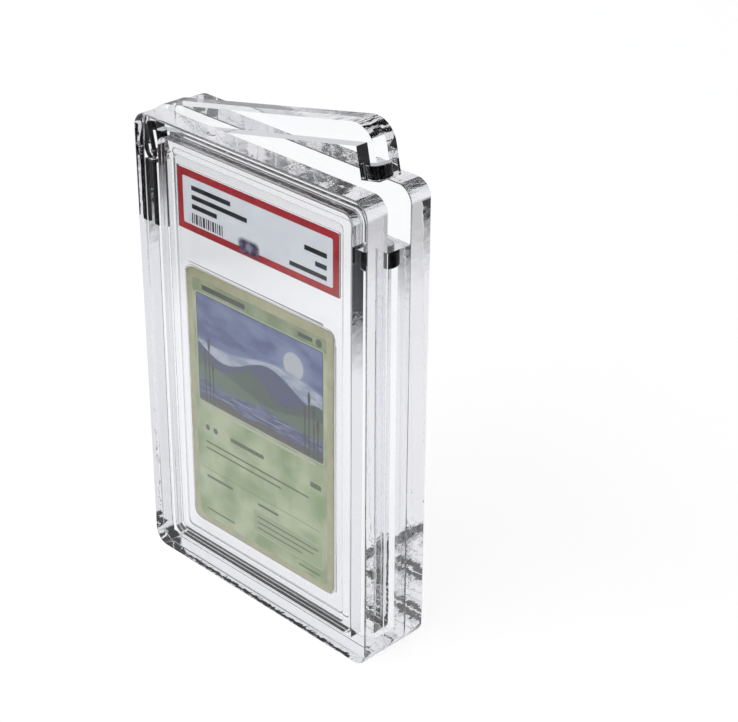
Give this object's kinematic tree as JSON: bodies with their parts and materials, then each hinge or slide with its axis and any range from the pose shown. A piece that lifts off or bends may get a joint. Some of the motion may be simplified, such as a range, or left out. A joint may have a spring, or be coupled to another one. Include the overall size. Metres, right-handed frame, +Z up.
{
  "type": "trading card display case",
  "caption": "Upright clear acrylic block case holding a graded trading card slab, with a tilting top lid that closes on a magnet.",
  "frame": {"origin": "middle of the case's footprint, on the plane it stands on", "axes": "+X to the right seen from the front, +Y from the front plate to the back plate, +Z up"},
  "size_m": [0.0973, 0.0242, 0.1653],
  "materials": {
    "clear_acrylic": "polished clear acrylic",
    "blackened_steel": "blackened, satin",
    "bright_steel": "bright",
    "magnet_plating": "nickel plated",
    "slab_plastic": "moulded clear, gloss",
    "label_paper": "printed paper, red frame on a pale field",
    "card_stock": "printed card, semi-gloss"
  },
  "bodies": {
    "case": {"front_plate": "clear_acrylic", "back_plate": "clear_acrylic", "u_frame": "clear_acrylic", "barrel_lower": "blackened_steel", "magnet_frame": "magnet_plating", "slab_front": "slab_plastic", "slab_back": "slab_plastic", "slab_tray": "slab_plastic", "slab_label": "label_paper", "card": "card_stock"},
    "lid": {"lid": "clear_acrylic", "barrel_upper": "blackened_steel", "hinge_pin": "bright_steel", "magnet_lid": "magnet_plating"}
  },
  "joints": [
    {"name": "lid_hinge", "type": "hinge", "parent": "case", "child": "lid", "pos_m": [-0.04535, 0, 0.13475], "axis": [0, -1, 0], "range_deg": [-12, 78]}
  ]
}
